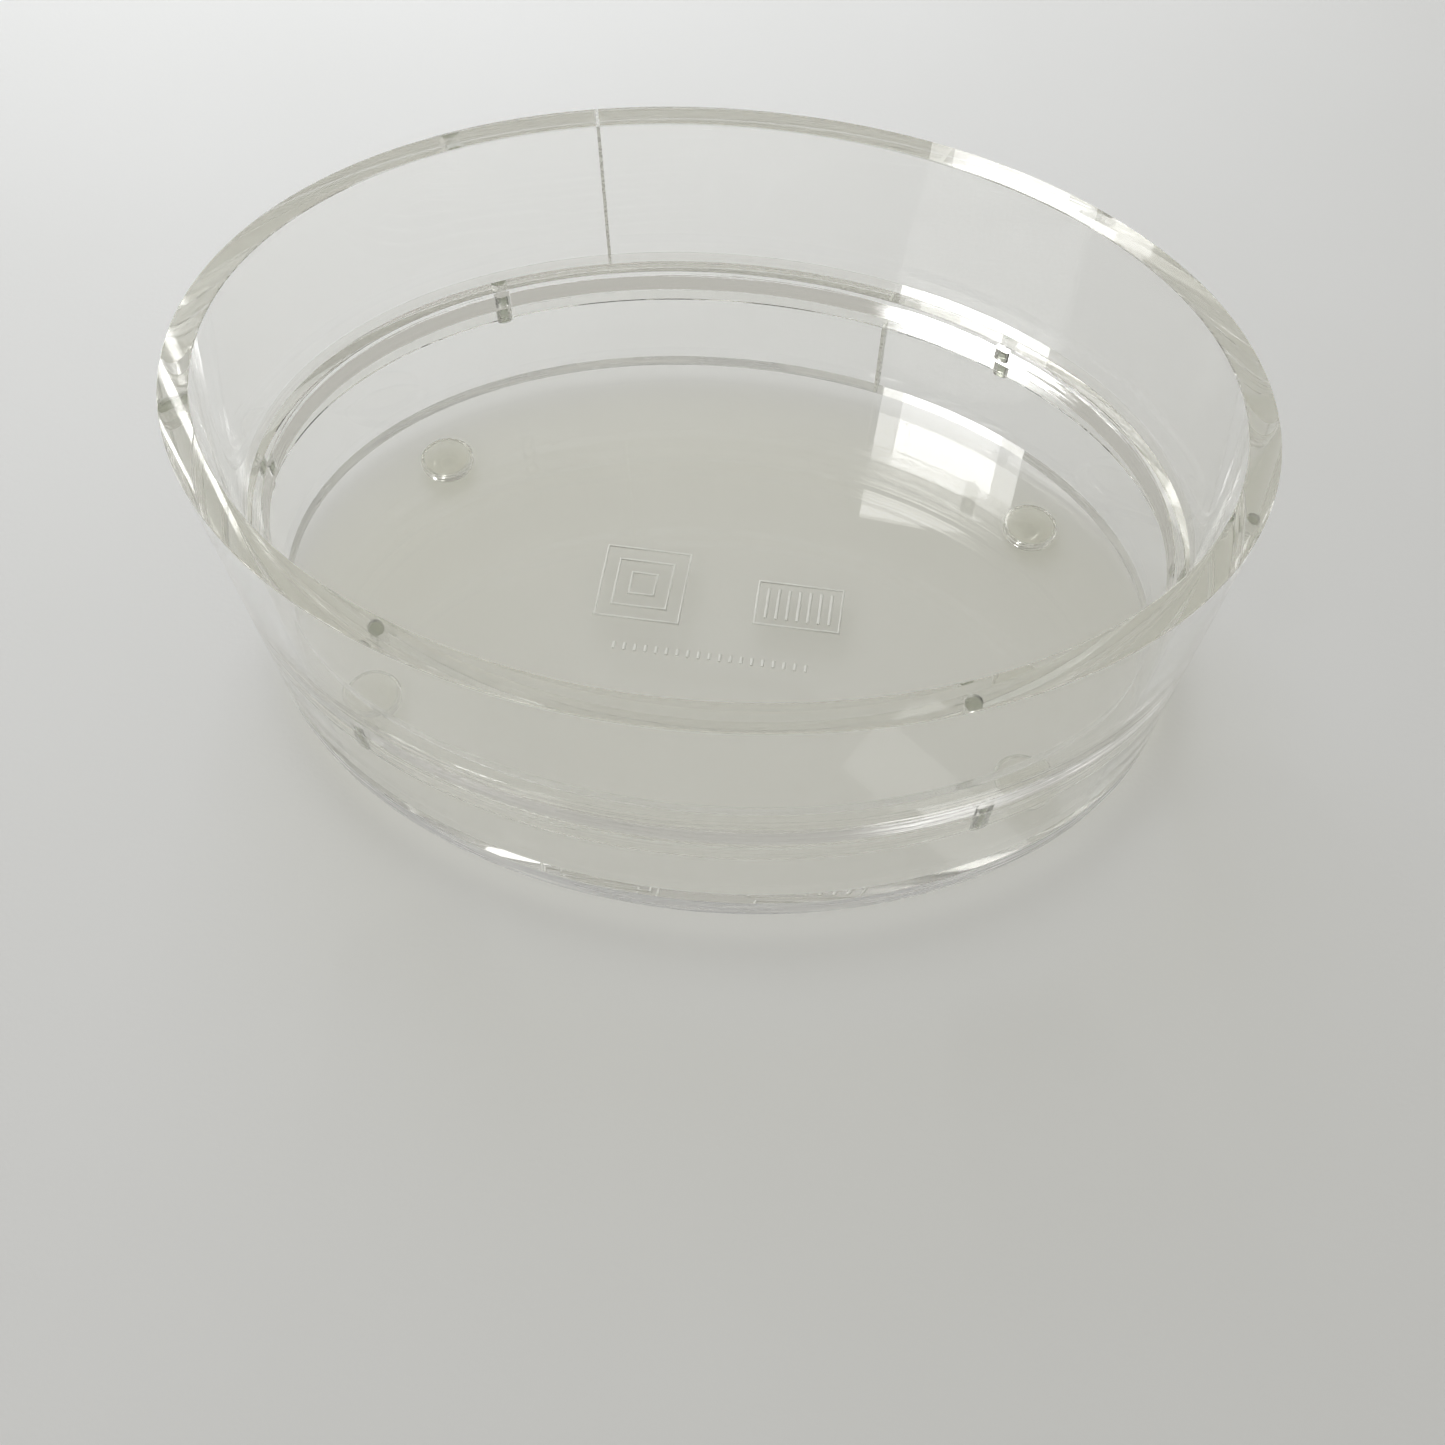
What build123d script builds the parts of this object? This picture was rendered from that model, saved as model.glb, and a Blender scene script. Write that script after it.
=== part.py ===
from build123d import *
import math
import os

# Clear acrylic oval display tray: a lower tray on bumper feet and a lift-off upper section.
# Units are millimetres, +Z is up, X runs along the long axis of the oval.
# The origin is on the resting surface, under the centre of the oval.

# ---- driving dimensions ----
LENGTH = 180.0                  # outside of the wall, along X
WIDTH = 131.0                   # outside of the wall, along Y
SHEET = 5.0                     # thickness of every acrylic sheet and strip
EDGE_BREAK = 0.5                # chamfer that polishing leaves on the free edges

UPPER_RING_HEIGHT = 32.1
LOWER_RING_HEIGHT = 19.1
LEDGE_WIDTH = 7.7               # from the outside wall to the ledge's inner edge
DRY_GAP = 0.05                  # air film between the two sections

PIN_RADIUS = 1.6
PIN_LENGTH = 7.5
PIN_DEPTH = 6.5                 # through the collar and on into the lower ring
PIN_CLEARANCE = 0.05            # radial, in the ledge ring's holes
PIN_END_ROOM = 0.5              # above the pin's tip, in the ledge ring's blind hole
PIN_SIDE_ANGLE = 54.0           # ellipse parameter of the four corner pins, degrees

BUMPER_RADIUS = 5.55
BUMPER_HEIGHT = 3.0
BUMPER_TIP_RADIUS = 1.8         # small flat that the dome settles on
ADHESIVE_THICKNESS = 0.2
BUMPER_X = 62.0
BUMPER_Y = 28.5

WELD_WIDTH = 0.6                # cement in the butt joint of a bent ring
UPPER_WELD_ANGLE = 110.0        # ellipse parameter, degrees
LOWER_WELD_ANGLE = 72.0

# ---- levels ----
BASE_BOTTOM = BUMPER_HEIGHT + ADHESIVE_THICKNESS
BASE_TOP = BASE_BOTTOM + SHEET
LOWER_RING_TOP = BASE_TOP + LOWER_RING_HEIGHT
COLLAR_TOP = LOWER_RING_TOP + SHEET
LEDGE_BOTTOM = COLLAR_TOP + DRY_GAP
LEDGE_TOP = LEDGE_BOTTOM + SHEET
RIM_TOP = LEDGE_TOP + UPPER_RING_HEIGHT
PIN_BOTTOM = COLLAR_TOP - PIN_DEPTH
PIN_TOP = PIN_BOTTOM + PIN_LENGTH

HALF_LENGTH = LENGTH / 2
HALF_WIDTH = WIDTH / 2
WALL_MIDDLE = SHEET / 2
TOLERANCE = 0.01
CUT_THROUGH = 1.0               # how far a cutter runs past the face that it leaves by


def oval_slab(inset, bottom, top):
    """A solid oval slab whose edge lies inset inside the outer wall."""
    outline = Ellipse(HALF_LENGTH - inset, HALF_WIDTH - inset)
    return Pos(0, 0, bottom) * extrude(outline, amount=top - bottom)


def oval_ring(width, bottom, top):
    """A vertical ring, flush with the outer wall and width thick."""
    inside = oval_slab(width, bottom - CUT_THROUGH, top + CUT_THROUGH)
    return oval_slab(0, bottom, top) - inside


def break_edges(solid, level):
    """Chamfer the oval edges of the face at one level."""
    edges = solid.edges().filter_by_position(Axis.Z, level - TOLERANCE, level + TOLERANCE)
    return chamfer(edges, EDGE_BREAK)


def oval_place(angle, inset):
    """A point at an ellipse parameter, inset along the wall's normal, and that normal's angle."""
    turn = math.radians(angle)
    x = HALF_LENGTH * math.cos(turn)
    y = HALF_WIDTH * math.sin(turn)
    normal = math.atan2(y / HALF_WIDTH**2, x / HALF_LENGTH**2)
    return x - inset * math.cos(normal), y - inset * math.sin(normal), math.degrees(normal)


def weld_cutter(angle, bottom, top):
    """A thin upright slab through the wall, square to it."""
    x, y, heading = oval_place(angle, WALL_MIDDLE)
    middle = (bottom + top) / 2
    slab = Box(3 * SHEET, WELD_WIDTH, top - bottom + 2 * CUT_THROUGH)
    return Pos(x, y, middle) * Rot(0, 0, heading) * slab


def pin_places():
    """Name and plan position of each locating pin, at the middle of the wall."""
    angles = {
        "right": 0,
        "back_right": PIN_SIDE_ANGLE,
        "back_left": 180 - PIN_SIDE_ANGLE,
        "left": 180,
        "front_left": 180 + PIN_SIDE_ANGLE,
        "front_right": -PIN_SIDE_ANGLE,
    }
    return {name: oval_place(angle, WALL_MIDDLE)[:2] for name, angle in angles.items()}


def bumper_places():
    """Name and plan position of each bumper foot."""
    return {
        "back_left": (-BUMPER_X, BUMPER_Y),
        "back_right": (BUMPER_X, BUMPER_Y),
        "front_left": (-BUMPER_X, -BUMPER_Y),
        "front_right": (BUMPER_X, -BUMPER_Y),
    }


def post(radius, x, y, bottom, top):
    """An upright cylinder between two levels."""
    return Pos(x, y, bottom) * extrude(Circle(radius), amount=top - bottom)


def make_base_plate():
    return break_edges(oval_slab(0, BASE_BOTTOM, BASE_TOP), BASE_BOTTOM)


def make_lower_ring():
    """The lower wall and the cement in its butt joint, with a blind hole for each pin."""
    ring = oval_ring(SHEET, BASE_TOP, LOWER_RING_TOP)
    cutter = weld_cutter(LOWER_WELD_ANGLE, BASE_TOP, LOWER_RING_TOP)
    weld = ring & cutter
    ring -= cutter
    for x, y in pin_places().values():
        ring -= post(PIN_RADIUS, x, y, PIN_BOTTOM, LOWER_RING_TOP + CUT_THROUGH)
    return ring, weld


def make_collar_ring():
    """The flat oval ring cemented on the lower wall, with a hole right through for each pin."""
    ring = oval_ring(SHEET, LOWER_RING_TOP, COLLAR_TOP)
    for x, y in pin_places().values():
        ring -= post(PIN_RADIUS, x, y, LOWER_RING_TOP - CUT_THROUGH, COLLAR_TOP + CUT_THROUGH)
    return ring


def make_ledge_ring():
    """The wider flat oval ring under the upper wall: its inner edge stands proud as a ledge."""
    ring = break_edges(oval_ring(LEDGE_WIDTH, LEDGE_BOTTOM, LEDGE_TOP), LEDGE_BOTTOM)
    hole_top = PIN_TOP + PIN_END_ROOM
    for x, y in pin_places().values():
        ring -= post(PIN_RADIUS + PIN_CLEARANCE, x, y, LEDGE_BOTTOM - CUT_THROUGH, hole_top)
    return ring


def make_upper_ring():
    """The tall upper wall and the cement in its butt joint."""
    ring = break_edges(oval_ring(SHEET, LEDGE_TOP, RIM_TOP), RIM_TOP)
    cutter = weld_cutter(UPPER_WELD_ANGLE, LEDGE_TOP, RIM_TOP)
    weld = ring & cutter
    return ring - cutter, weld


def make_bumper(x, y):
    """A domed foot: a short straight side, then a round shoulder down to a small flat."""
    side = BUMPER_HEIGHT * 0.3
    shoulder = BUMPER_HEIGHT - side
    with BuildPart() as foot:
        with BuildSketch(Plane.XZ):
            with BuildLine():
                Line((0, 0), (BUMPER_TIP_RADIUS, 0))
                EllipticalCenterArc(
                    (BUMPER_TIP_RADIUS, shoulder),
                    BUMPER_RADIUS - BUMPER_TIP_RADIUS,
                    shoulder,
                    start_angle=270,
                    arc_size=90,
                )
                Line((BUMPER_RADIUS, shoulder), (BUMPER_RADIUS, BUMPER_HEIGHT))
                Line((BUMPER_RADIUS, BUMPER_HEIGHT), (0, BUMPER_HEIGHT))
                Line((0, BUMPER_HEIGHT), (0, 0))
            make_face()
        revolve(axis=Axis.Z)
    return Pos(x, y, 0) * foot.part


def build_nodes():
    """Every separate piece, by node name."""
    lower_ring, lower_weld = make_lower_ring()
    upper_ring, upper_weld = make_upper_ring()
    nodes = {
        "base_plate": make_base_plate(),
        "lower_ring": lower_ring,
        "lower_ring_weld": lower_weld,
        "collar_ring": make_collar_ring(),
        "ledge_ring": make_ledge_ring(),
        "upper_ring": upper_ring,
        "upper_ring_weld": upper_weld,
    }
    for name, (x, y) in pin_places().items():
        nodes[f"pin_{name}"] = post(PIN_RADIUS, x, y, PIN_BOTTOM, PIN_TOP)
    for name, (x, y) in bumper_places().items():
        nodes[f"bumper_{name}"] = make_bumper(x, y)
        nodes[f"bumper_pad_{name}"] = post(BUMPER_RADIUS, x, y, BUMPER_HEIGHT, BASE_BOTTOM)
    return nodes


os.makedirs("parts", exist_ok=True)
for node, shape in build_nodes().items():
    export_step(shape, f"parts/{node}.step")
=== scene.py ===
import bpy
import bmesh
import math
from mathutils import Matrix, Vector


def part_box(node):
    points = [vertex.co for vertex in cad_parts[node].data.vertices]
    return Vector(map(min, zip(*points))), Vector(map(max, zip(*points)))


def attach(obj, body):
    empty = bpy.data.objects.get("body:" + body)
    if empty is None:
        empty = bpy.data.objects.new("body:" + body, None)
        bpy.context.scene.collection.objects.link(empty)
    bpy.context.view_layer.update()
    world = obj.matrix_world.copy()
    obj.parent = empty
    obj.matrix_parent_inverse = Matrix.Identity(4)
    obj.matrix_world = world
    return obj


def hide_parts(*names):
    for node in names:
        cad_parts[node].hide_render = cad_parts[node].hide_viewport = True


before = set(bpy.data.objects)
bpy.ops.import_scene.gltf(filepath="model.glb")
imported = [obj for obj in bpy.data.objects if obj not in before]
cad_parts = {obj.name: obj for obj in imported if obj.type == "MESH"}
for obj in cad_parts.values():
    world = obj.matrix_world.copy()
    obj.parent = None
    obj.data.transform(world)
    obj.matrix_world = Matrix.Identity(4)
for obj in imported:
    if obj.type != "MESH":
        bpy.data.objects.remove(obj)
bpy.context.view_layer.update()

# Clear acrylic oval display tray on a plain pale table. Everything is in metres, in the CAD frame.
MM = 0.001

# ---- sizes read from the frame ----
BASE_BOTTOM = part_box("base_plate")[0].z
HALF_LENGTH, HALF_WIDTH, BASE_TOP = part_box("base_plate")[1]
LOWER_RING_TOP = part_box("lower_ring")[1].z
COLLAR_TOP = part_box("collar_ring")[1].z
LEDGE_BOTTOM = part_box("ledge_ring")[0].z
LEDGE_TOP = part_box("ledge_ring")[1].z
RIM_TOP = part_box("upper_ring")[1].z
PIN_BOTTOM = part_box("pin_right")[0].z
PIN_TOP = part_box("pin_right")[1].z
BUMPER_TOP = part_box("bumper_front_left")[1].z
SHEET = BASE_TOP - BASE_BOTTOM

# ---- sizes that a box can't give ----
LEDGE_WIDTH = 7.7 * MM          # outer wall to the ledge's inner edge
PIN_RADIUS = 1.6 * MM
PIN_FILM = 0.05 * MM            # air round a pin in its hole
PIN_END_ROOM = 0.5 * MM         # above a pin's tip, in the ledge ring
WELD_WIDTH = 0.6 * MM
UPPER_WELD_ANGLE = 110.0        # ellipse parameter, degrees
LOWER_WELD_ANGLE = 72.0
BUMPER_TIP_RADIUS = 1.8 * MM
BUMPER_SHOULDER_SHARE = 0.7     # of the foot's height; the rest is a straight side
POLISH = 0.15 * MM              # softened free edges of the rim, ledge and base
JOINT_BREAK = 0.14 * MM         # tiny break on the edges at the joints between pieces
BOND = 0.02 * MM                # cemented parts reach this far into each other
SKIN = 0.03 * MM                # a cement strip stops this far short of the wall's faces

OVAL_STEPS = 384
ROUND_STEPS = 64
SHARP_ANGLE = math.radians(20)


# ---------------------------------------------------------------- mesh helpers

def smooth_but_sharp(bm):
    """Smooth faces, with the real edges kept sharp."""
    for face in bm.faces:
        face.smooth = True
    for edge in bm.edges:
        if len(edge.link_faces) == 2:
            edge.smooth = edge.calc_face_angle(0) < SHARP_ANGLE


def new_object(name, bm, materials):
    bmesh.ops.recalc_face_normals(bm, faces=bm.faces)
    smooth_but_sharp(bm)
    mesh = bpy.data.meshes.new(name)
    bm.to_mesh(mesh)
    bm.free()
    for material in materials:
        mesh.materials.append(material)
    thing = bpy.data.objects.new(name, mesh)
    bpy.context.scene.collection.objects.link(thing)
    return thing


def sweep_rows(bm, profile):
    """Carries a profile of (inset, height) points round the oval, one row of vertices per step."""
    rows = []
    for step in range(OVAL_STEPS):
        turn = 2 * math.pi * step / OVAL_STEPS
        c, s = math.cos(turn), math.sin(turn)
        rows.append([bm.verts.new(((HALF_LENGTH - i) * c, (HALF_WIDTH - i) * s, z)) for i, z in profile])
    return rows


def join_rows(bm, rows, closed, slots):
    """Quads between neighbouring rows; slots gives each profile side's material index."""
    sides = len(rows[0]) if closed else len(rows[0]) - 1
    for k, row in enumerate(rows):
        after = rows[(k + 1) % len(rows)]
        for j in range(sides):
            n = (j + 1) % len(row)
            face = bm.faces.new((row[j], after[j], after[n], row[n]))
            face.material_index = slots[j] if slots else 0


def oval_ring(name, profile, materials, slots=None):
    bm = bmesh.new()
    join_rows(bm, sweep_rows(bm, profile), True, slots)
    return new_object(name, bm, materials)


def oval_slab(name, profile, materials, slots=None):
    bm = bmesh.new()
    rows = sweep_rows(bm, profile)
    join_rows(bm, rows, False, slots)
    bm.faces.new([row[0] for row in rows])
    bm.faces.new([row[-1] for row in rows])
    return new_object(name, bm, materials)


def turned(name, profile, x, y, materials):
    """A solid of revolution about the upright through (x, y); the profile runs from axis to axis."""
    bm = bmesh.new()
    rows = []
    for step in range(ROUND_STEPS):
        turn = 2 * math.pi * step / ROUND_STEPS
        c, s = math.cos(turn), math.sin(turn)
        rows.append([bm.verts.new((x + r * c, y + r * s, z)) for r, z in profile[1:-1]])
    low = bm.verts.new((x, y, profile[0][1]))
    high = bm.verts.new((x, y, profile[-1][1]))
    join_rows(bm, rows, False, None)
    for k, row in enumerate(rows):
        after = rows[(k + 1) % ROUND_STEPS]
        bm.faces.new((low, after[0], row[0]))
        bm.faces.new((high, row[-1], after[-1]))
    return new_object(name, bm, materials)


def oval_place(angle, inset):
    """A point at an ellipse parameter, inset along the wall's normal, and that normal's angle."""
    turn = math.radians(angle)
    x = HALF_LENGTH * math.cos(turn)
    y = HALF_WIDTH * math.sin(turn)
    normal = math.atan2(y / HALF_WIDTH**2, x / HALF_LENGTH**2)
    return x - inset * math.cos(normal), y - inset * math.sin(normal), normal


def centre_of(node):
    low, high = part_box(node)
    return (low.x + high.x) / 2, (low.y + high.y) / 2


def drill(thing, places, radius, bottom, top, wall_material):
    """Cuts upright round holes, whose walls take the given material."""
    bm = bmesh.new()
    for x, y in places:
        rows = []
        for step in range(ROUND_STEPS):
            turn = 2 * math.pi * step / ROUND_STEPS
            at = (x + radius * math.cos(turn), y + radius * math.sin(turn))
            rows.append([bm.verts.new((*at, bottom)), bm.verts.new((*at, top))])
        join_rows(bm, rows, False, None)
        bm.faces.new([row[0] for row in rows])
        bm.faces.new([row[1] for row in rows])
    cutter = new_object("cutter", bm, [wall_material])
    cut = thing.modifiers.new("holes", "BOOLEAN")
    cut.operation = "DIFFERENCE"
    cut.solver = "EXACT"
    cut.material_mode = "TRANSFER"
    cut.object = cutter
    bpy.context.view_layer.update()
    ready = thing.evaluated_get(bpy.context.evaluated_depsgraph_get())
    drilled = bpy.data.meshes.new_from_object(ready)
    thing.modifiers.clear()
    thing.data = drilled
    bm = bmesh.new()
    bm.from_mesh(drilled)
    smooth_but_sharp(bm)
    bm.to_mesh(drilled)
    bm.free()
    bpy.data.objects.remove(cutter)


# ---------------------------------------------------------------- materials

class Nodes:
    """Short calls for building one material's node tree."""

    def __init__(self, name):
        self.material = bpy.data.materials.new(name)
        self.material.use_nodes = True
        self.tree = self.material.node_tree
        self.shader = self.tree.nodes["Principled BSDF"]
        self.output = self.tree.nodes["Material Output"]

    def add(self, kind, **values):
        node = self.tree.nodes.new(kind)
        for key, value in values.items():
            if hasattr(node, key):
                setattr(node, key, value)
            else:
                node.inputs[key.replace("_", " ")].default_value = value
        return node

    def link(self, start, end):
        self.tree.links.new(start, end)

    def place(self, scale):
        """Object coordinates stretched by a scale, in metres."""
        coordinates = self.add("ShaderNodeTexCoord")
        mapping = self.add("ShaderNodeMapping")
        mapping.inputs["Scale"].default_value = scale
        self.link(coordinates.outputs["Object"], mapping.inputs["Vector"])
        return mapping.outputs["Vector"]

    def noise(self, scale, detail, stretch=(1, 1, 1)):
        texture = self.add("ShaderNodeTexNoise", Scale=scale, Detail=detail)
        self.link(self.place(stretch), texture.inputs["Vector"])
        return texture.outputs["Fac"]

    def ramp(self, source, low, high, low_value, high_value):
        """Maps source from low..high to low_value..high_value and holds it there."""
        node = self.add("ShaderNodeMapRange")
        limits = {"From Min": low, "From Max": high, "To Min": low_value, "To Max": high_value}
        for key, value in limits.items():
            node.inputs[key].default_value = value
        self.link(source, node.inputs["Value"])
        return node.outputs["Result"]

    def bump(self, source, strength, distance):
        node = self.add("ShaderNodeBump", Strength=strength, Distance=distance)
        self.link(source, node.inputs["Height"])
        self.link(node.outputs["Normal"], self.shader.inputs["Normal"])

    def colour(self, source, low, high):
        """Mixes two colours by source into the shader's base colour."""
        node = self.add("ShaderNodeMix", data_type="RGBA")
        colours = [s for s in node.inputs if s.type == "RGBA"]
        colours[0].default_value = (*low, 1)
        colours[1].default_value = (*high, 1)
        self.link(source, node.inputs["Factor"])
        self.link(next(s for s in node.outputs if s.type == "RGBA"), self.shader.inputs["Base Color"])

    def let_lamps_through(self, tint):
        """Light reaches what is behind the clear plastic instead of stopping at it."""
        path = self.add("ShaderNodeLightPath")
        either = self.add("ShaderNodeMath", operation="MAXIMUM")
        self.link(path.outputs["Is Shadow Ray"], either.inputs[0])
        self.link(path.outputs["Is Diffuse Ray"], either.inputs[1])
        clear = self.add("ShaderNodeBsdfTransparent")
        clear.inputs["Color"].default_value = (*tint, 1)
        mix = self.add("ShaderNodeMixShader")
        self.link(either.outputs["Value"], mix.inputs["Fac"])
        self.link(self.shader.outputs["BSDF"], mix.inputs[1])
        self.link(clear.outputs["BSDF"], mix.inputs[2])
        self.link(mix.outputs["Shader"], self.output.inputs["Surface"])


ACRYLIC_IOR = 1.49
ACRYLIC_TINT = (0.988, 0.988, 0.976)
LAMP_TINT = (0.96, 0.96, 0.945)             # share of lamp light passed by one bent or routed face
FLAT_LAMP_TINT = (0.96, 0.957, 0.935)       # the same for a face of flat sheet
EDGE_LAMP_TINT = (0.80, 0.80, 0.81)         # the same for the base plate's cut edge
PAPER_SHADE = (0.80, 0.795, 0.785)
PAPER_LIGHT = (0.83, 0.825, 0.82)


def clear_plastic(name, tint, ior):
    nodes = Nodes(name)
    nodes.shader.inputs["Base Color"].default_value = (*tint, 1)
    nodes.shader.inputs["IOR"].default_value = ior
    nodes.shader.inputs["Transmission Weight"].default_value = 1
    return nodes


def make_acrylic(name, waviness, lamp_tint):
    """Polished cast sheet: clear, with faint haze where it was handled and a slow waviness."""
    nodes = clear_plastic(name, tint=ACRYLIC_TINT, ior=ACRYLIC_IOR)
    handling = nodes.noise(scale=38, detail=4)
    haze = nodes.ramp(handling, low=0.52, high=0.78, low_value=0.0, high_value=0.035)
    nodes.link(haze, nodes.shader.inputs["Roughness"])
    slow_waves = nodes.noise(scale=45, detail=2, stretch=(1, 1, 0.35))
    nodes.bump(slow_waves, strength=waviness, distance=0.2 * MM)
    nodes.let_lamps_through(lamp_tint)
    return nodes.material


def make_sawn_edge():
    """The base plate's cut edge: fine lengthwise saw lines under a partial polish."""
    nodes = clear_plastic("sawn_edge", tint=ACRYLIC_TINT, ior=ACRYLIC_IOR)
    nodes.shader.inputs["Transmission Weight"].default_value = 0.35
    streaks = nodes.noise(scale=900, detail=5, stretch=(0.06, 0.06, 1))
    patches = nodes.noise(scale=30, detail=3)
    both = nodes.add("ShaderNodeMath", operation="MULTIPLY")
    nodes.link(streaks, both.inputs[0])
    nodes.link(patches, both.inputs[1])
    roughness = nodes.ramp(both.outputs[0], low=0.15, high=0.4, low_value=0.12, high_value=0.5)
    nodes.link(roughness, nodes.shader.inputs["Roughness"])
    shade = nodes.ramp(streaks, low=0.4, high=0.6, low_value=0, high_value=1)
    nodes.colour(shade, low=(0.97, 0.97, 0.975), high=(0.80, 0.80, 0.83))
    nodes.bump(streaks, strength=0.5, distance=0.25 * MM)
    nodes.let_lamps_through(EDGE_LAMP_TINT)
    return nodes.material


def make_routed_edge():
    """Cut edges of the flat rings: polished, with the cutter's fine lengthwise lines still in them."""
    nodes = clear_plastic("routed_edge", tint=ACRYLIC_TINT, ior=ACRYLIC_IOR)
    nodes.shader.inputs["Roughness"].default_value = 0.02
    cutter_lines = nodes.noise(scale=1100, detail=4, stretch=(0.02, 0.02, 1))
    nodes.bump(cutter_lines, strength=0.5, distance=0.2 * MM)
    nodes.let_lamps_through(LAMP_TINT)
    return nodes.material


def make_drilled():
    """Drilled walls of the pin holes: tool rings and a matt haze."""
    nodes = clear_plastic("drilled_hole", tint=(0.86, 0.87, 0.84), ior=ACRYLIC_IOR)
    tool_rings = nodes.noise(scale=900, detail=2, stretch=(0.1, 0.1, 1))
    nodes.bump(tool_rings, strength=0.4, distance=0.1 * MM)
    haze = nodes.ramp(nodes.noise(scale=300, detail=2), low=0.3, high=0.7, low_value=0.12, high_value=0.35)
    nodes.link(haze, nodes.shader.inputs["Roughness"])
    return nodes.material


def make_pin():
    """Extruded rod: clear grey-green, with faint lengthwise drawing lines and a patchy haze; its sawn ends
    get no finish of their own.
    """
    nodes = clear_plastic("pin_rod", tint=(0.66, 0.68, 0.60), ior=ACRYLIC_IOR)
    drawing_lines = nodes.noise(scale=700, detail=3, stretch=(1, 1, 0.06))
    nodes.bump(drawing_lines, strength=0.35, distance=0.1 * MM)
    wear = nodes.noise(scale=500, detail=2)
    haze = nodes.ramp(wear, low=0.35, high=0.75, low_value=0.02, high_value=0.25)
    nodes.link(haze, nodes.shader.inputs["Roughness"])
    return nodes.material


def make_bumper():
    """Soft clear polyurethane, a little milky."""
    nodes = clear_plastic("soft_bumper", tint=(1.0, 1.0, 0.985), ior=1.5)
    nodes.shader.inputs["Transmission Weight"].default_value = 0.94
    bloom = nodes.ramp(nodes.noise(scale=260, detail=3), low=0.4, high=0.8, low_value=0.0, high_value=0.05)
    nodes.link(bloom, nodes.shader.inputs["Roughness"])
    nodes.bump(nodes.noise(scale=520, detail=2), strength=0.08, distance=0.1 * MM)
    nodes.let_lamps_through((0.93, 0.93, 0.91))
    return nodes.material


def make_adhesive():
    """A thin clear film that wets the plate unevenly."""
    nodes = clear_plastic("adhesive_film", tint=(0.99, 0.99, 0.98), ior=1.48)
    wetting = nodes.noise(scale=900, detail=4)
    dry_spots = nodes.ramp(wetting, low=0.45, high=0.7, low_value=0.0, high_value=0.08)
    nodes.link(dry_spots, nodes.shader.inputs["Roughness"])
    nodes.let_lamps_through((0.97, 0.97, 0.96))
    return nodes.material


def make_cement():
    """Cured cement in a butt joint: clear, whitened by a scatter of fine bubbles."""
    nodes = clear_plastic("weld_cement", tint=(0.97, 0.97, 0.96), ior=1.46)
    nodes.shader.inputs["Transmission Weight"].default_value = 0.3
    fine_noise = nodes.noise(scale=1500, detail=3)
    bubbles = nodes.ramp(fine_noise, low=0.45, high=0.6, low_value=0.25, high_value=0.6)
    nodes.link(bubbles, nodes.shader.inputs["Roughness"])
    nodes.bump(nodes.noise(scale=900, detail=4), strength=0.12, distance=0.1 * MM)
    nodes.let_lamps_through((0.85, 0.85, 0.84))
    return nodes.material


def make_engraving():
    """Laser-frosted grooves seen through the clear base."""
    nodes = Nodes("engraved_frost")
    nodes.shader.inputs["Base Color"].default_value = (0.97, 0.97, 0.96, 1)
    nodes.shader.inputs["Transmission Weight"].default_value = 0.2
    frost = nodes.ramp(nodes.noise(scale=1800, detail=3), low=0.3, high=0.7, low_value=0.35, high_value=0.7)
    nodes.link(frost, nodes.shader.inputs["Roughness"])
    nodes.bump(nodes.noise(scale=2500, detail=3), strength=0.4, distance=0.1 * MM)
    nodes.let_lamps_through((0.8, 0.8, 0.78))
    return nodes.material


def make_paper():
    """The table: matt off-white card with a fine tooth and slow mottling."""
    nodes = Nodes("table_card")
    nodes.colour(nodes.noise(scale=14, detail=3), PAPER_SHADE, PAPER_LIGHT)
    nodes.shader.inputs["Roughness"].default_value = 0.75
    nodes.bump(nodes.noise(scale=900, detail=6), strength=0.25, distance=0.15 * MM)
    return nodes.material


acrylic = make_acrylic("acrylic_sheet", waviness=0.004, lamp_tint=FLAT_LAMP_TINT)
bent_acrylic = make_acrylic("bent_acrylic", waviness=0.02, lamp_tint=LAMP_TINT)
sawn_edge = make_sawn_edge()
routed_edge = make_routed_edge()
drilled = make_drilled()
pin_rod = make_pin()
soft_bumper = make_bumper()
adhesive = make_adhesive()
cement = make_cement()
engraved = make_engraving()


# ---------------------------------------------------------------- acrylic pieces

PIN_NAMES = ("right", "back_right", "back_left", "left", "front_left", "front_right")
FOOT_NAMES = ("back_left", "back_right", "front_left", "front_right")
pin_spots = [centre_of(f"pin_{name}") for name in PIN_NAMES]

# materials of the flat parts, and the slot numbers that the sides of their profiles take
plate_materials = [acrylic, sawn_edge]
SAWN = 1
flat_ring_materials = [acrylic, drilled, routed_edge]
FLAT = 0
ROUTED = 2


def place_piece(piece, body, node):
    """Stands in for one CAD node and the body that carries it."""
    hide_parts(node)
    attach(piece, body)


def make_base_plate():
    """Polished faces, a sawn outer edge, and a softened bottom corner."""
    profile = [
        (POLISH, BASE_BOTTOM),
        (0, BASE_BOTTOM + POLISH),
        (0, BASE_TOP - JOINT_BREAK),
        (JOINT_BREAK, BASE_TOP),
    ]
    plate = oval_slab("base_plate_acrylic", profile, plate_materials, [SAWN, SAWN, SAWN])
    place_piece(plate, "lower_tray", "base_plate")


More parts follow.
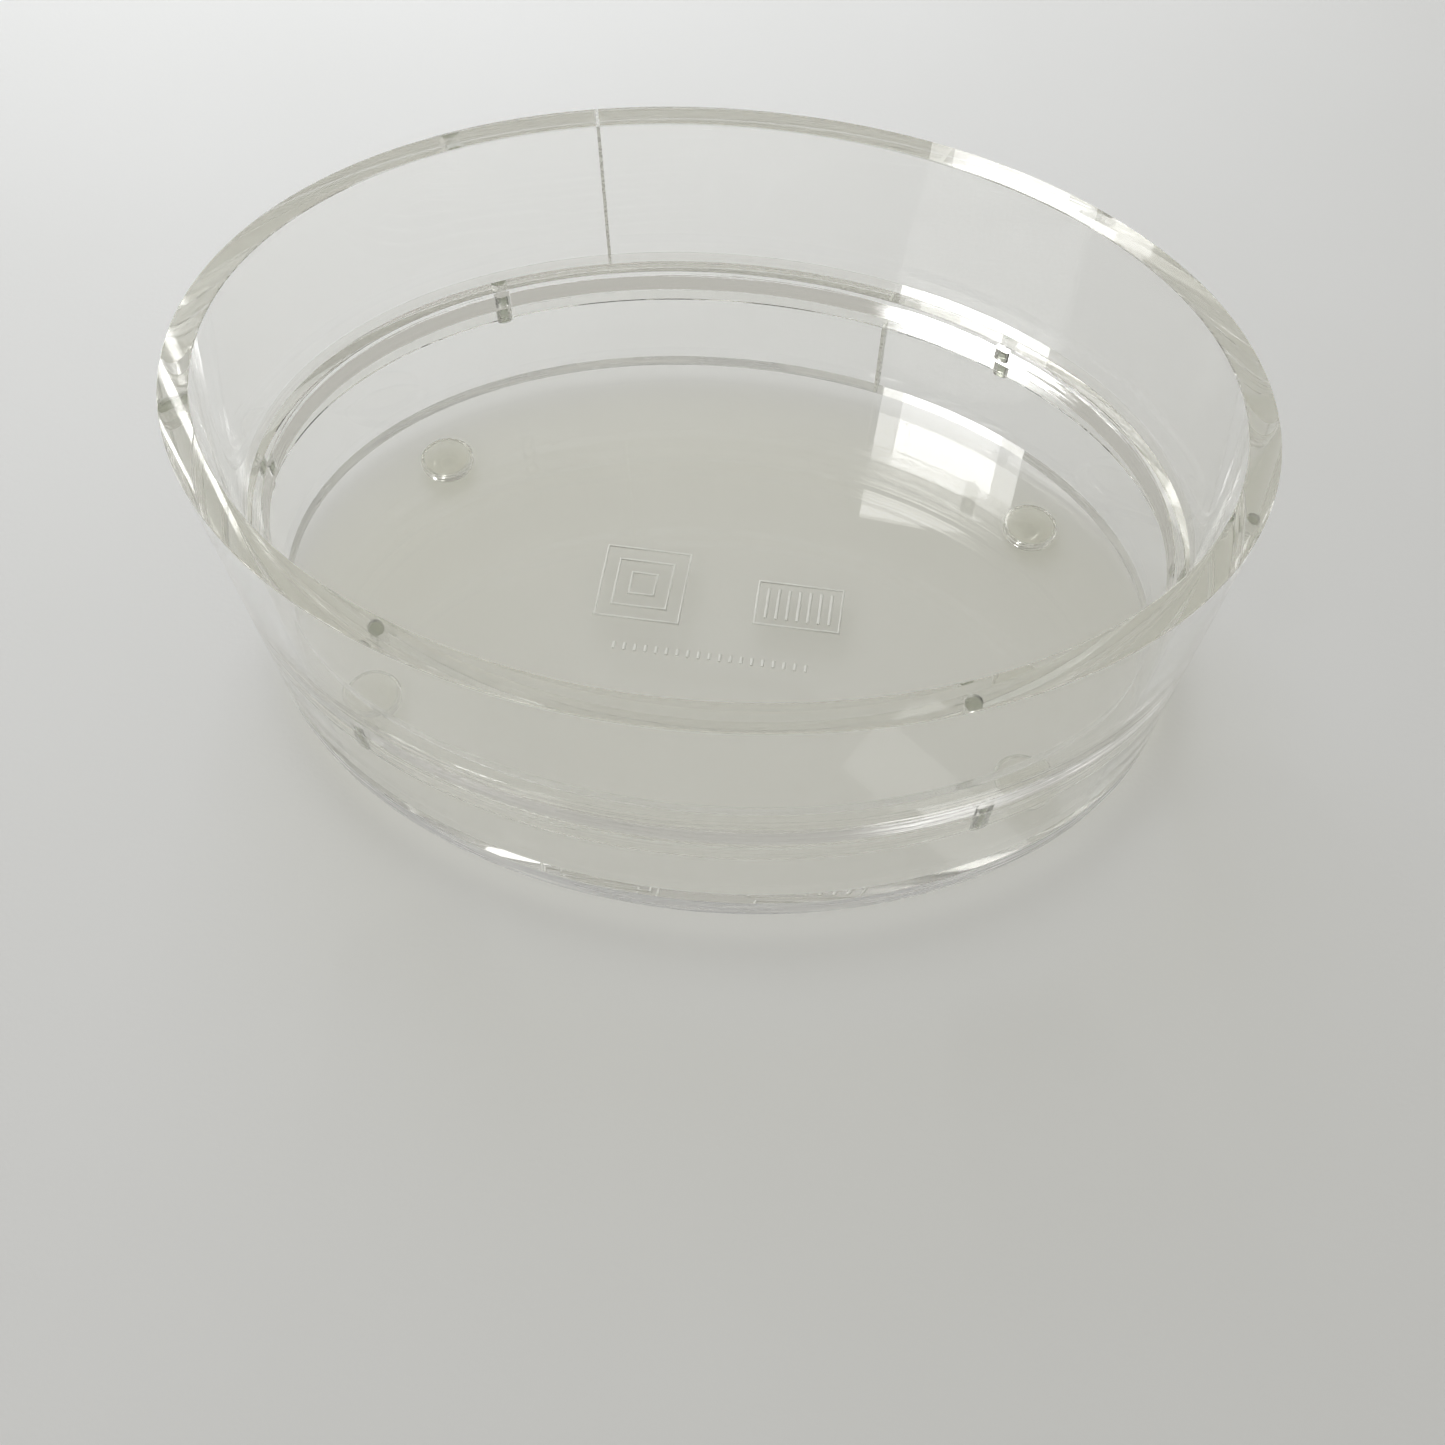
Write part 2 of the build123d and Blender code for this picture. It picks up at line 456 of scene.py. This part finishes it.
def make_lower_ring():
    bottom = BASE_TOP - BOND
    top = LOWER_RING_TOP
    profile = [
        (0, bottom + BOND + JOINT_BREAK),
        (0, top - JOINT_BREAK),
        (JOINT_BREAK, top),
        (SHEET - JOINT_BREAK, top),
        (SHEET, top - JOINT_BREAK),
        (SHEET, bottom),
        (JOINT_BREAK, bottom),
    ]
    ring = oval_ring("lower_ring_acrylic", profile, [bent_acrylic, drilled])
    drill(ring, pin_spots, PIN_RADIUS + PIN_FILM, PIN_BOTTOM - PIN_FILM, top + MM, drilled)
    place_piece(ring, "lower_tray", "lower_ring")


def make_collar_ring():
    bottom = LOWER_RING_TOP - BOND
    top = COLLAR_TOP
    profile = [
        (0, bottom + BOND + JOINT_BREAK),
        (0, top - JOINT_BREAK),
        (JOINT_BREAK, top),
        (SHEET - JOINT_BREAK, top),
        (SHEET, top - JOINT_BREAK),
        (SHEET, bottom + BOND + JOINT_BREAK),
        (SHEET - JOINT_BREAK, bottom),
        (JOINT_BREAK, bottom),
    ]
    slots = [ROUTED, FLAT, FLAT, FLAT, ROUTED, FLAT, FLAT, FLAT]
    ring = oval_ring("collar_ring_acrylic", profile, flat_ring_materials, slots)
    drill(ring, pin_spots, PIN_RADIUS + PIN_FILM, bottom - MM, top + MM, drilled)
    place_piece(ring, "lower_tray", "collar_ring")


def make_ledge_ring():
    profile = [
        (POLISH, LEDGE_BOTTOM),
        (0, LEDGE_BOTTOM + POLISH),
        (0, LEDGE_TOP - JOINT_BREAK),
        (JOINT_BREAK, LEDGE_TOP),
        (LEDGE_WIDTH - JOINT_BREAK, LEDGE_TOP),
        (LEDGE_WIDTH, LEDGE_TOP - JOINT_BREAK),
        (LEDGE_WIDTH, LEDGE_BOTTOM + POLISH),
        (LEDGE_WIDTH - POLISH, LEDGE_BOTTOM),
    ]
    slots = [FLAT, ROUTED, FLAT, FLAT, FLAT, ROUTED, FLAT, FLAT]
    ring = oval_ring("ledge_ring_acrylic", profile, flat_ring_materials, slots)
    drill(ring, pin_spots, PIN_RADIUS + PIN_FILM, LEDGE_BOTTOM - MM, PIN_TOP + PIN_END_ROOM, drilled)
    place_piece(ring, "upper_section", "ledge_ring")


def make_upper_ring():
    bottom = LEDGE_TOP - BOND
    profile = [
        (0, bottom + BOND + JOINT_BREAK),
        (0, RIM_TOP - POLISH),
        (POLISH, RIM_TOP),
        (SHEET - POLISH, RIM_TOP),
        (SHEET, RIM_TOP - POLISH),
        (SHEET, bottom),
        (JOINT_BREAK, bottom),
    ]
    ring = oval_ring("upper_ring_acrylic", profile, [bent_acrylic])
    place_piece(ring, "upper_section", "upper_ring")


def make_weld(name, angle, bottom, top, body, node):
    """A thin upright strip of cement across the wall, just inside its faces."""
    x, y, heading = oval_place(angle, SHEET / 2)
    bm = bmesh.new()
    bmesh.ops.create_cube(bm, size=1)
    size = Matrix.Diagonal((SHEET - 2 * SKIN, WELD_WIDTH, top - bottom - 2 * SKIN, 1))
    spot = Matrix.Translation((x, y, (bottom + top) / 2)) @ Matrix.Rotation(heading, 4, "Z")
    bmesh.ops.transform(bm, matrix=spot @ size, verts=bm.verts)
    softened = 0.05 * MM
    bmesh.ops.bevel(bm, geom=bm.edges[:], offset=softened, segments=2, affect="EDGES")
    place_piece(new_object(name, bm, [cement]), body, node)


def make_pin_piece(name):
    """A rod with lightly broken ends."""
    x, y = centre_of(f"pin_{name}")
    broken = 0.2 * MM
    profile = [
        (0, PIN_BOTTOM),
        (PIN_RADIUS - broken, PIN_BOTTOM),
        (PIN_RADIUS, PIN_BOTTOM + broken),
        (PIN_RADIUS, PIN_TOP - broken),
        (PIN_RADIUS - broken, PIN_TOP),
        (0, PIN_TOP),
    ]
    rod = turned(f"pin_{name}_rod", profile, x, y, [pin_rod])
    place_piece(rod, "lower_tray", f"pin_{name}")


def make_bumper_piece(name):
    """A moulded dome with a short straight side, on its disc of adhesive."""
    x, y = centre_of(f"bumper_{name}")
    low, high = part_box(f"bumper_{name}")
    radius = (high.x - low.x) / 2
    shoulder = BUMPER_SHOULDER_SHARE * BUMPER_TOP
    arc_steps = 14
    profile = [(0, 0)]
    for step in range(arc_steps + 1):
        turn = math.pi / 2 * step / arc_steps
        r = BUMPER_TIP_RADIUS + (radius - BUMPER_TIP_RADIUS) * math.sin(turn)
        profile.append((r, shoulder * (1 - math.cos(turn))))
    profile += [(radius, BUMPER_TOP - JOINT_BREAK), (radius - JOINT_BREAK, BUMPER_TOP), (0, BUMPER_TOP)]
    dome = turned(f"bumper_{name}_dome", profile, x, y, [soft_bumper])
    place_piece(dome, "lower_tray", f"bumper_{name}")
    pad_radius = radius - 2 * JOINT_BREAK
    film = [
        (0, BUMPER_TOP - BOND),
        (pad_radius, BUMPER_TOP - BOND),
        (pad_radius, BASE_BOTTOM + BOND),
        (0, BASE_BOTTOM + BOND),
    ]
    pad = turned(f"bumper_pad_{name}_film", film, x, y, [adhesive])
    place_piece(pad, "lower_tray", f"bumper_pad_{name}")


# ---------------------------------------------------------------- generic engraved motifs

GROOVE_RADIUS = 0.35 * MM
GROOVE_DEPTH = 0.12 * MM
LEFT_MOTIF = (-14.8 * MM, 2.2 * MM)
RIGHT_MOTIF = (17.0 * MM, 1.2 * MM)
MOTIF_HALF = 8.5 * MM           # half the width of either motif
BAR_ROW_Y = -13.0 * MM
BAR_ROW_START = -18.0 * MM
BAR_ROW_END = 20.0 * MM


def groove_curve(name, lines):
    """Rounded grooves along flat (points, closed) lines, just inside the underside of the base."""
    curve = bpy.data.curves.new(name, "CURVE")
    curve.dimensions = "3D"
    curve.bevel_depth = GROOVE_RADIUS
    curve.bevel_resolution = 3
    curve.use_fill_caps = True
    for points, closed in lines:
        spline = curve.splines.new("POLY")
        spline.points.add(len(points) - 1)
        for point, (x, y) in zip(spline.points, points):
            point.co = (x, y, BASE_BOTTOM + GROOVE_DEPTH, 1)
        spline.use_cyclic_u = closed
    holder = bpy.data.objects.new(name + "_curve", curve)
    bpy.context.scene.collection.objects.link(holder)
    bpy.context.view_layer.update()
    mesh = bpy.data.meshes.new_from_object(holder.evaluated_get(bpy.context.evaluated_depsgraph_get()))
    bpy.data.objects.remove(holder)
    mesh.name = name
    mesh.materials.clear()
    mesh.materials.append(engraved)
    motif = bpy.data.objects.new(name, mesh)
    bpy.context.scene.collection.objects.link(motif)
    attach(motif, "lower_tray")


def rectangle(centre, half_width, half_height):
    """A closed upright rectangle about a centre."""
    x, y = centre
    corners = [
        (x - half_width, y - half_height),
        (x + half_width, y - half_height),
        (x + half_width, y + half_height),
        (x - half_width, y + half_height),
    ]
    return corners, True


def make_square_motif():
    """Three plain squares, one inside the other."""
    lines = []
    for share in (1.0, 0.65, 0.3):
        lines.append(rectangle(LEFT_MOTIF, share * MOTIF_HALF, share * MOTIF_HALF))
    groove_curve("motif_squares", lines)


def make_hatched_motif():
    """A plain rectangle with straight upright hatching that stops short of its frame."""
    x, y = RIGHT_MOTIF
    half_height = 0.6 * MOTIF_HALF
    hatch_half = 0.7 * half_height
    hatch_count = 7
    pitch = 2 * MOTIF_HALF / (hatch_count + 1)
    lines = [rectangle(RIGHT_MOTIF, MOTIF_HALF, half_height)]
    for hatch in range(hatch_count):
        hatch_x = x - MOTIF_HALF + (hatch + 1) * pitch
        lines.append(([(hatch_x, y - hatch_half), (hatch_x, y + hatch_half)], False))
    groove_curve("motif_hatching", lines)


def make_bar_row():
    """A row of short plain bars."""
    count = 19
    half_height = 0.75 * MM
    pitch = (BAR_ROW_END - BAR_ROW_START) / (count - 1)
    lines = []
    for bar in range(count):
        x = BAR_ROW_START + bar * pitch
        lines.append(([(x, BAR_ROW_Y - half_height), (x, BAR_ROW_Y + half_height)], False))
    groove_curve("motif_bar_row", lines)


# ---------------------------------------------------------------- stage

def make_table():
    half = 2.5                  # metres
    corners = ((-half, -half), (half, -half), (half, half), (-half, half))
    bm = bmesh.new()
    bm.faces.new([bm.verts.new((x, y, 0)) for x, y in corners])
    new_object("table", bm, [make_paper()])


def softbox(name, place, aim, width, height, power, tint=(1, 1, 1)):
    """A rectangular lamp that faces a point."""
    lamp = bpy.data.lights.new(name, "AREA")
    lamp.shape = "RECTANGLE"
    lamp.size = width
    lamp.size_y = height
    lamp.energy = power
    lamp.color = tint
    holder = bpy.data.objects.new(name, lamp)
    bpy.context.scene.collection.objects.link(holder)
    holder.location = place
    holder.rotation_euler = (Vector(aim) - Vector(place)).to_track_quat("-Z", "Y").to_euler()
    return holder


ROOM_LIGHT = 0.34               # how strongly the room lights matt surfaces
HORIZON_LIGHT = 0.56            # how bright its walls look in and through the plastic
CEILING_LIGHT = 0.44


def make_room():
    """An even room for matt surfaces; gloss and glass see paler walls under a dimmer ceiling."""
    world = bpy.data.worlds.new("room")
    bpy.context.scene.world = world
    world.use_nodes = True
    tree = world.node_tree
    room = tree.nodes["Background"]
    room.inputs["Color"].default_value = (1.0, 0.985, 0.91, 1)
    direction = tree.nodes.new("ShaderNodeTexCoord")
    split = tree.nodes.new("ShaderNodeSeparateXYZ")
    fade = tree.nodes.new("ShaderNodeMapRange")
    fade.inputs["To Min"].default_value = HORIZON_LIGHT
    fade.inputs["To Max"].default_value = CEILING_LIGHT
    tree.links.new(direction.outputs["Generated"], split.inputs["Vector"])
    tree.links.new(split.outputs["Z"], fade.inputs["Value"])
    path = tree.nodes.new("ShaderNodeLightPath")
    choose = tree.nodes.new("ShaderNodeMix")
    choose.inputs["B"].default_value = ROOM_LIGHT
    tree.links.new(path.outputs["Is Diffuse Ray"], choose.inputs["Factor"])
    tree.links.new(fade.outputs["Result"], choose.inputs["A"])
    tree.links.new(choose.outputs["Result"], room.inputs["Strength"])


def make_lights():
    """Soft daylight: a broad fill, a back window with a brighter core, a high strip, a front window."""
    middle = (0, 0, 0.02)
    fill_place = (-0.25, 0.55, 0.45)
    cool_white = (0.93, 0.96, 1.0)
    fill = softbox("fill_back_left", fill_place, middle, width=0.5, height=0.5, power=3.8, tint=cool_white)
    fill.visible_glossy = False
    fill.visible_transmission = False
    window_aim = (0.04, 0, 0.02)
    windows = (                 # name, place, width, height and power
        ("window_back", (0.15, 1.1, 0.98), 0.19, 0.50, 1.0),
        ("window_back_core", (0.145, 1.08, 0.97), 0.13, 0.38, 0.6),
    )
    for name, place, width, height, power in windows:
        window = softbox(name, place, window_aim, width, height, power)
        window.visible_diffuse = False
    strip_place = (0.45, 0.60, 1.60)
    strip = softbox("strip_back_right", strip_place, middle, width=0.9, height=0.10, power=0.4)
    strip.visible_diffuse = False
    strip.visible_glossy = False
    front_place = (-0.60, -0.62, 0.80)
    softbox("window_front_left", front_place, middle, width=0.5, height=0.25, power=1.5)


def make_camera():
    """The viewing angle: from the front, high up, turned a little to the left."""
    sensor = 36                 # millimetres, as the lens
    lens = 34.88
    pitch = 29.59               # degrees up from straight down
    heading = 8.39              # degrees round to the left
    viewpoint = (0.025, -0.15775, RIM_TOP + 0.168)
    holder = bpy.data.objects.new("camera", bpy.data.cameras.new("camera"))
    bpy.context.scene.collection.objects.link(holder)
    holder.data.sensor_width = sensor
    holder.data.lens = lens
    holder.data.clip_start = 0.01
    holder.location = viewpoint
    holder.rotation_euler = (math.radians(pitch), 0, math.radians(heading))
    bpy.context.scene.camera = holder


make_base_plate()
make_lower_ring()
make_collar_ring()
make_ledge_ring()
make_upper_ring()
make_weld("lower_weld_cement", LOWER_WELD_ANGLE, BASE_TOP, LOWER_RING_TOP, "lower_tray", "lower_ring_weld")
make_weld("upper_weld_cement", UPPER_WELD_ANGLE, LEDGE_TOP, RIM_TOP, "upper_section", "upper_ring_weld")
for pin_name in PIN_NAMES:
    make_pin_piece(pin_name)
for foot_name in FOOT_NAMES:
    make_bumper_piece(foot_name)
make_square_motif()
make_hatched_motif()
make_bar_row()
make_table()
make_room()
make_lights()
make_camera()

BOUNCES = 40                    # light crosses many clear faces before it gets out
scene = bpy.context.scene
scene.view_settings.view_transform = "Standard"
for limit in ("max_bounces", "transmission_bounces", "glossy_bounces", "transparent_max_bounces"):
    setattr(scene.cycles, limit, BOUNCES)
